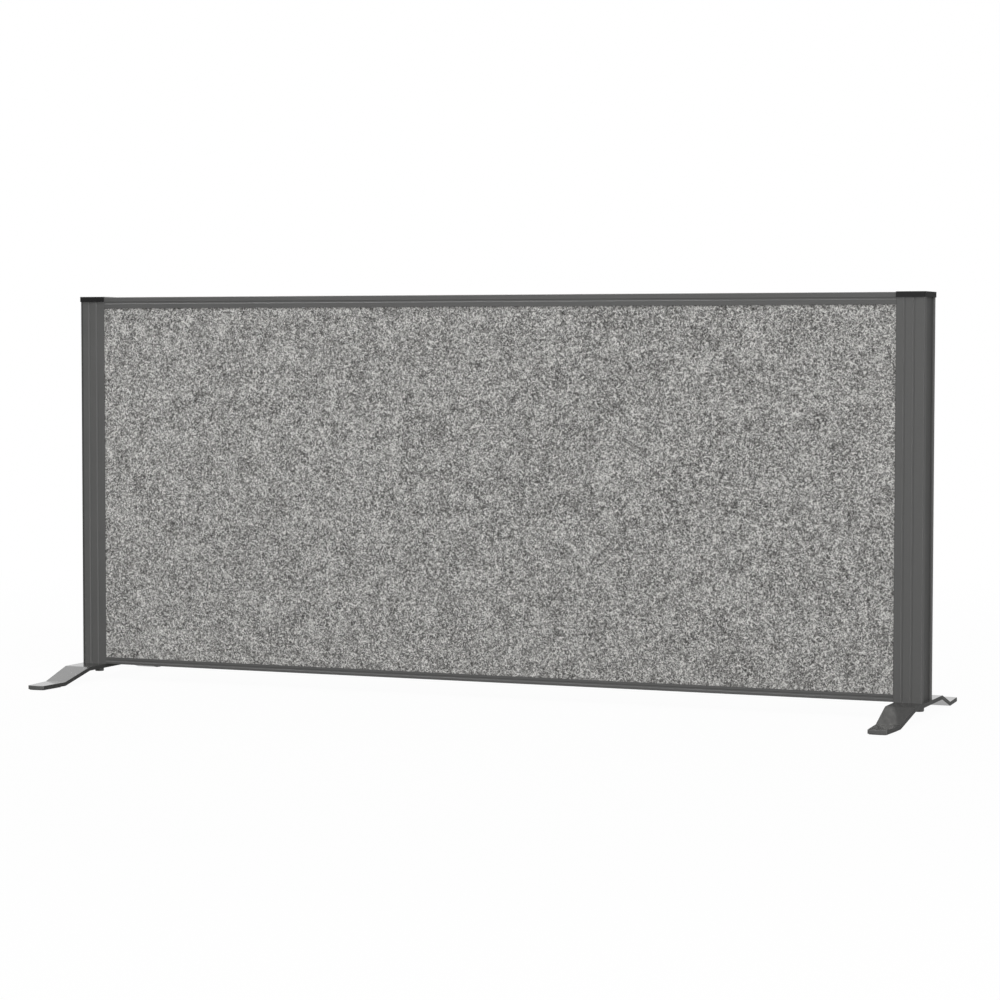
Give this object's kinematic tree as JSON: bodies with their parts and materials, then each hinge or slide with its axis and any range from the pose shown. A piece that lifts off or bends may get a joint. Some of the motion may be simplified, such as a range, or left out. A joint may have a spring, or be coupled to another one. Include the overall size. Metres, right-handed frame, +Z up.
{
  "type": "acoustic divider screen",
  "caption": "Free-standing acoustic divider screen for a desk: a felt-faced absorbing panel in an aluminium profile frame on bent steel feet.",
  "frame": {"origin": "on the desk plane under the centre of the screen", "axes": "+X along the screen towards its right-hand end seen from the front, +Y from front to back, +Z up"},
  "size_m": [1.609, 0.481, 0.711],
  "materials": {
    "profile": "satin powder coat, anthracite",
    "cap": "matt black moulded plastic",
    "felt": "melange grey pressed felt",
    "core": "compressed absorbent fibre",
    "batten": "planed softwood",
    "foam": "closed-cell foam",
    "rubber": "solid rubber",
    "bracket": "zinc plated",
    "screw": "zinc plated",
    "foot": "semi-gloss powder coat, grey",
    "bolt": "zinc plated, dulled",
    "pad": "solid rubber"
  },
  "bodies": {
    "root": {"left_post": "profile", "right_post": "profile", "top_rail": "profile", "bottom_rail": "profile", "left_post_cap": "cap", "right_post_cap": "cap", "front_felt_board": "felt", "back_felt_board": "felt", "acoustic_core": "core", "top_batten": "batten", "bottom_batten": "batten", "left_batten": "batten", "right_batten": "batten", "batten_screws": "screw", "left_edge_foam": "foam", "right_edge_foam": "foam", "panel_setting_blocks": "rubber", "top_left_bracket": "bracket", "top_right_bracket": "bracket", "bottom_left_bracket": "bracket", "bottom_right_bracket": "bracket", "post_leg_screws_left": "screw", "post_leg_screws_right": "screw", "top_rail_screws": "screw", "bottom_rail_screws": "screw", "left_foot_block": "bracket", "right_foot_block": "bracket", "left_foot": "foot", "right_foot": "foot", "left_foot_bolt": "bolt", "right_foot_bolt": "bolt", "left_foot_washer": "bolt", "right_foot_washer": "bolt", "left_spring_washer": "bolt", "right_spring_washer": "bolt", "left_foot_pin": "bolt", "right_foot_pin": "bolt", "left_front_pad": "pad", "left_back_pad": "pad", "right_front_pad": "pad", "right_back_pad": "pad"}
  },
  "joints": []
}
